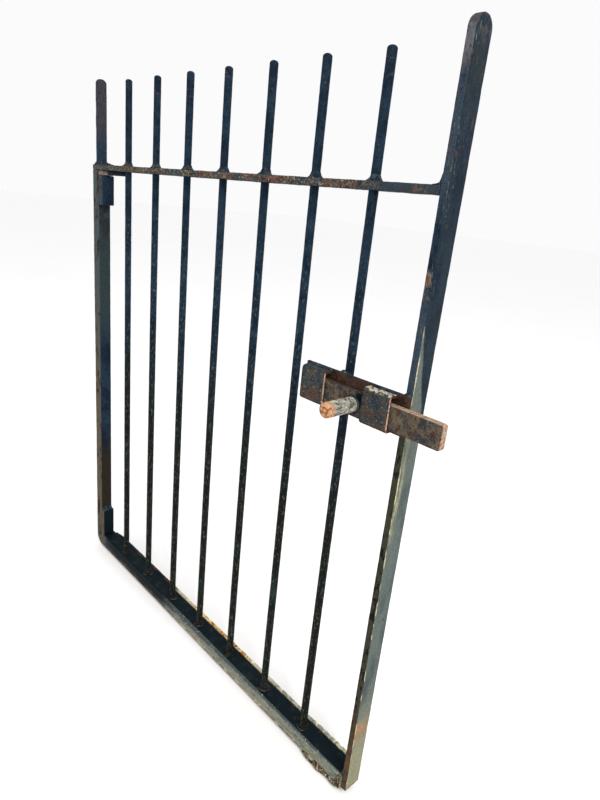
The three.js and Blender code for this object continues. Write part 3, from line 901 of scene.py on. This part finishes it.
def build_bars(material, weld, foot_weld):
    """The upright bars, each with a cone of weld on the top rail and a ring of weld at its foot."""
    rail_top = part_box("top_rail")[1].z
    rail_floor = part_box("bottom_rail")[1].z
    dome = 0.66
    cone_line = [(1, 0.3), (0.86, 0.9), (0.62, 2), (0.4, 3.4), (0.22, 5.2), (0.1, 7)]
    cone_top = 8.5 * MM
    for number in range(1, BAR_COUNT + 1):
        low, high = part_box(f"bar_{number}")
        middle = (low + high).xy / 2
        radius = (high.x - low.x) / 2
        rings = rod_rings(middle, rail_floor - SUNK, high.z, radius, dome=dome)
        make_bar(f"bar_{number}", rings, material, seed=10 + number)

        inner = radius - SUNK
        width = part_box(f"bar_weld_{number}")[1].x - middle.x
        spread = width - radius
        cone = [(inner, -SUNK), (width, -SUNK)]
        cone += [(radius + spread * share, height * MM) for share, height in cone_line]
        cone.append((inner, cone_top))
        rings = mound_rings(middle, "Z", rail_top, cone, 0.5, 60 + number)
        make_bar(f"bar_weld_{number}", rings, weld, rough=0.5, seed=30 + number)

        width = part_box(f"bar_foot_weld_{number}")[1].x - middle.x
        ring = [
            (inner, -SUNK), (width, -SUNK), (width, 0.4 * MM), (width * 0.94, 1.4 * MM),
            (width * 0.82, 2.4 * MM), (width * 0.7, 3.2 * MM), (inner, 3.6 * MM),
        ]
        rings = mound_rings(middle, "Z", rail_floor, ring, 0.6, 80 + number)
        make_bar(f"bar_foot_weld_{number}", rings, foot_weld, rough=0.5, seed=50 + number)


def build_finial(material, weld):
    """The round finial, and the weld round its foot with lumps that tail off along the rail."""
    low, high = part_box("hinge_stile_finial")
    middle = (low + high).xy / 2
    radius = (high.x - low.x) / 2
    rings = rod_rings(middle, low.z - SUNK, high.z, radius, sides=28)
    make_bar("hinge_stile_finial", rings, material, rough=0.5, seed=5)

    inner = radius - SUNK
    collar = [
        (inner, -SUNK), (radius + 2.6 * MM, -SUNK), (radius + 2.4 * MM, MM),
        (radius + 1.4 * MM, 3 * MM), (radius + 0.6 * MM, 5 * MM), (inner, 6 * MM),
    ]
    bm = bmesh.new()
    skin(bm, mound_rings(middle, "Z", low.z, collar, 1.0, 101))
    tail_low, tail_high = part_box("finial_weld_tail")
    first = tail_low.x + MM
    last = tail_high.x - 4 * MM
    lump_count = 6
    for k in range(lump_count):
        share = k / (lump_count - 1)
        x = first + share * (last - first)
        y = (tail_low.y + tail_high.y) / 2 + 2 * MM * (-1) ** k
        size = (6.5 * MM, 7 * MM, (4.4 - 2.4 * share) * MM)
        add_lump(bm, (x, y, tail_low.z), size, 110 + k)
    make("finial_weld", bm, weld, "gate", ["finial_weld", "finial_weld_tail"], 0)


def build_rear_strip(material):
    """The strip behind the bottom rail, its top edge eaten by rust towards the latch."""
    low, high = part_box("bottom_rear_strip")
    arris = 1.6 * MM
    spacing = 1.8 * MM
    rise_length = 34 * MM  # the strip starts low at the hinge end and comes up over this length
    rise_height = 6 * MM
    eaten_from = low.x + 620 * MM
    eaten_over = 50 * MM
    outline = section(high.y - low.y, high.z - low.z, arris, 2 * MM)
    middle = Vector(((low.y + high.y) / 2, (low.z + high.z) / 2))
    half = (high.z - low.z) / 2
    rings = []
    for x in spaced(low.x, high.x, spacing):
        rise = min(1.0, (x - low.x) / rise_length)
        eaten = clamp((x - eaten_from) / eaten_over)
        ragged = 2.2 * MM * eaten * wander((x, 0, 0), 5 * MM, 8) - 0.8 * MM * eaten
        ragged += 0.7 * MM * wander((x, 0, 0), 8 * MM, 9)
        drop = rise_height * (1 - rise) - ragged
        ring = []
        for p in outline:
            share = max(0.0, p.y / half)
            ring.append(Vector((x, middle.x + p.x, middle.y + p.y - drop * share)))
        rings.append(ring)
    make_bar("bottom_rear_strip", rings, material, rough=0.6, seed=6)


def build_rail_end(crust, weld):
    """The bead on the latch stile's side, and the crusted rust on the bottom rail's front by it."""
    low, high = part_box("bottom_rail_latch_weld")
    x = high.x - MM
    z = low.z + 0.5 * MM
    rings = bead_rings((x, low.y, z), (x, high.y, z), 3.6 * MM, 0.5, 7)
    make_bar("bottom_rail_latch_weld", rings, weld, rough=0)

    low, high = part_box("bottom_corner_weld")
    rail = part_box("bottom_rail")[0]
    middle = (low + high) / 2
    bm = bmesh.new()
    lump_count = 4
    for k in range(lump_count):
        z = low.z + (k + 0.5) * (high.z - low.z) / lump_count
        add_lump(bm, (middle.x + 2 * MM, high.y + 0.6 * MM, z), (4.6 * MM, 2 * MM, 4.6 * MM), 120 + k)
    add_lump(bm, (middle.x, high.y - 0.4 * MM, rail.z + 7 * MM), (6.4 * MM, 4.4 * MM, 6 * MM), 126)
    skin(bm, flap_rings(high.x - 83 * MM, 74 * MM, rail))
    make("rail_end_crust", bm, crust, "gate", ["bottom_corner_weld"], 0)


def flap_rings(start, length, rail):
    """Rings of the knobbly flap of rust that hangs from the rail's lower front arris."""
    spacing = 1.5 * MM
    knob_size = 3.4 * MM
    rings = []
    for x in spaced(start, start + length, spacing):
        swell = max(0.0, math.sin(math.pi * (x - start) / length)) ** 0.5
        swell *= 0.85 + 0.7 * wander((x, 0, 0), 11 * MM, 3)
        reach = Vector(((1 + 2.8 * swell) * MM, (2.2 + 3.2 * swell) * MM))
        ring = []
        for p in circle(1, 18):
            knob = 1 + 0.5 * wander((x, p.x * 4 * MM, p.y * 4 * MM), knob_size, 4)
            y = rail.y - 0.4 * MM + p.x * reach.x * knob
            ring.append(Vector((x, y, rail.z + MM + p.y * reach.y * knob)))
        rings.append(ring)
    return rings


def build_hinge_corners(frame_paint, weld, rusty):
    """The two blocks inside the hinge stile, the doubler under the top rail, and the blocks' welds."""
    arris = 1.6 * MM
    grow = Vector((0.4 * MM, 0, 0))  # takes up the gap that the CAD leaves beside the stile
    for name, axis, seed in [("upper_hinge_block", "Z", 21), ("lower_hinge_block", "Z", 22),
                             ("corner_doubler", "X", 23)]:
        low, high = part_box(name)
        rings = box_rings(low - grow, high, axis, arris)
        make_bar(name, rings, frame_paint, rough=0.35, seed=seed)

    # The weld over the upper block is pale rust with a painted highlight.
    low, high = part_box("upper_hinge_block_weld")
    bm = bmesh.new()
    skin(bm, box_rings(low, high, "X", 2.4 * MM, step=2 * MM))
    start = (low.x, low.y + MM, low.z + 2 * MM)
    end = (high.x, low.y + MM, low.z + 2.6 * MM)
    skin(bm, bead_rings(start, end, 3.6 * MM, 0.4, 24))
    make("upper_hinge_block_weld", bm, rusty, "gate", ["upper_hinge_block_weld"], 0.4, 24)

    low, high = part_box("lower_hinge_block_weld")
    width, height = 9.5 * MM, 7 * MM
    rings = fillet_rings((low.x, low.z), low.y, high.y, width, height, 160)
    make_bar("lower_hinge_block_weld", rings, weld, rough=0.4, seed=160)


def build_keeper(side, seed, material, weld):
    """A flat strap bent to a U round the bolt, with a bead along each leg."""
    low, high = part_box(f"keeper_{side}")
    strap = 4 * MM
    bend = 5 * MM
    arris = 0.9 * MM
    bend_steps = 4
    front, back = low.y + strap / 2, high.y
    top, foot = high.z - strap / 2, low.z + strap / 2
    turn = bend - strap / 2

    # The strap's middle line in Y and Z, with the way that its outer face looks
    line = [(Vector((y, top)), Vector((0, 1))) for y in spaced(back, front + turn, 2 * MM)[:-1]]
    line += bend_line(Vector((front + turn, top - turn)), turn, math.pi / 2, bend_steps)
    straight = spaced(top - turn, foot + turn, 2.4 * MM)[1:-1]
    line += [(Vector((front, z)), Vector((-1, 0))) for z in straight]
    line += bend_line(Vector((front + turn, foot + turn)), turn, math.pi, bend_steps)
    line += [(Vector((y, foot)), Vector((0, -1))) for y in spaced(front + turn, back, 2 * MM)[1:]]

    width = high.x - low.x
    centre = (low.x + high.x) / 2
    outline = section(width, strap, arris, 2.5 * MM)
    rings = []
    for place, way in line:
        rings.append([Vector((centre + p.x, *(place + way * p.y))) for p in outline])
    make_bar(f"keeper_{side}", rings, material, rough=0.3, seed=seed)

    for place, past in [("lower", 0), ("upper", 4 * MM)]:
        name = f"keeper_{side}_{place}_weld"
        low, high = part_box(name)
        y = high.y - 0.6 * MM
        z = low.z if place == "upper" else high.z
        rings = bead_rings((low.x, y, z), (high.x + past, y, z), 2 * MM, 0.6, 72)
        make_bar(name, rings, weld, rough=0)


def bend_line(centre, radius, start, steps):
    """Points of a quarter turn from the angle start, each with the way that it faces."""
    line = []
    for k in range(steps + 1):
        angle = start + math.pi / 2 * k / steps
        way = Vector((math.cos(angle), math.sin(angle)))
        line.append((centre + radius * way, way))
    return line


def build_latch(plate, keeper, weld, frame_paint):
    """The back plate, the block that packs it off the last bar, its weld and the two keepers."""
    low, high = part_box("latch_plate")
    rings = box_rings(low, high, "X", MM, step=2.6 * MM)
    make_bar("latch_plate", rings, plate, rough=0.3, seed=60)

    low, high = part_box("bar_packing_block")
    into_bar = Vector((high.x, high.y + 3 * MM, high.z))
    rings = box_rings(low, into_bar, "Z", 3.5 * MM, step=2 * MM)
    make_bar("bar_packing_block", rings, frame_paint, rough=0.9, seed=61)

    low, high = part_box("plate_stile_weld")
    y = (low.y + high.y) / 2
    rings = bead_rings((low.x, y, low.z), (high.x, y, low.z), 2.6 * MM, 0.6, 62)
    make_bar("plate_stile_weld", rings, weld, rough=0)
    build_keeper("left", 71, keeper, weld)
    build_keeper("right", 72, keeper, weld)


def build_bolt(material, handle, weld):
    """The flat bolt with rounded corners at its end, and the round handle welded to its front."""
    low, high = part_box("bolt")
    corner = 3 * MM
    half = (high.z - low.z) / 2

    def round_corners(t):
        past = max(0.0, t - (high.x - corner))
        drawn = corner - math.sqrt(max(0.0, corner * corner - past * past))
        return (1, 1 - drawn / half)

    rings = box_rings(low, high, "X", MM, round_corners, 2.4 * MM)
    make_bar("bolt", rings, material, body="bolt", rough=0.3, seed=63)

    low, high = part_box("bolt_handle")
    middle = Vector(((low.x + high.x) / 2, (low.z + high.z) / 2))
    radius = (high.x - low.x) / 2
    rings = rod_rings(middle, high.y + 0.5 * MM, low.y, radius, "Y", 0.45, 32, 2 * MM)
    make_bar("bolt_handle", rings, handle, body="bolt", rough=0.45, seed=64)

    inner = radius - SUNK
    ring = [
        (inner, 0.4 * MM), (radius + 2.4 * MM, 0.4 * MM), (radius + 2.2 * MM, -MM),
        (radius + 1.2 * MM, -2 * MM), (inner, -2.5 * MM),
    ]
    rings = mound_rings(middle, "Y", high.y, ring, 0.3, 65)
    make_bar("bolt_handle_weld", rings, weld, body="bolt", rough=0.3, seed=65)


# The studio

def build_studio():
    """A pale floor just under the rust flap, an even white surround and two soft lights."""
    paint = Coats("floor_paint", srgb(253, 253, 253), 0.9)
    paint.spots(900, 0.3, 0.7, srgb(252, 252, 252), 0.9)
    bm = bmesh.new()
    bmesh.ops.create_grid(bm, x_segments=1, y_segments=1, size=FLOOR_HALF)
    floor = add_mesh("floor", bm, paint.finish(0.0, 0.0))
    floor.location.z = cad_box[0].z - FLOOR_DROP

    world = bpy.data.worlds.new("studio")
    world.use_nodes = True
    background = world.node_tree.nodes["Background"]
    background.inputs["Color"].default_value = srgb(251, 251, 252)
    background.inputs["Strength"].default_value = 1
    bpy.context.scene.world = world

    for name, place, size, power, color in LIGHTS:
        light = bpy.data.lights.new(name, "AREA")
        light.size = size
        light.energy = power
        light.color = color
        lamp = add_object(name, light)
        lamp.location = place
        lamp.rotation_euler = (LIGHT_AIM - Vector(place)).to_track_quat("-Z", "Y").to_euler()


def build_camera():
    """The camera, turned, then tilted, then rolled."""
    data = bpy.data.cameras.new("camera")
    data.lens = CAMERA_LENS
    data.sensor_width = CAMERA_SENSOR
    camera = add_object("camera", data)
    turn = Matrix.Rotation(CAMERA_TURN, 4, "Z")
    tilt = Matrix.Rotation(math.pi / 2 + CAMERA_TILT, 4, "X")
    roll = Matrix.Rotation(CAMERA_ROLL, 4, "Z")
    camera.matrix_world = Matrix.Translation(CAMERA_PLACE) @ turn @ tilt @ roll
    bpy.context.scene.camera = camera


weld_paint = paint_welds()
frame_paint = paint_hinge_frame()
build_hinge_frame(frame_paint)
build_finial(paint_finial(), weld_paint)
build_latch_stile(paint_latch_stile())
build_top_rail(paint_top_rail(), weld_paint)
build_bars(paint_bars(), weld_paint, paint_foot_welds())
build_rear_strip(paint_rear_strip())
build_rail_end(paint_crust(), weld_paint)
build_hinge_corners(frame_paint, weld_paint, paint_block_weld())
build_latch(paint_plate(), paint_keepers(), weld_paint, frame_paint)
build_bolt(paint_bolt(), paint_handle(), weld_paint)
build_studio()
build_camera()
bpy.context.scene.view_settings.view_transform = "Standard"
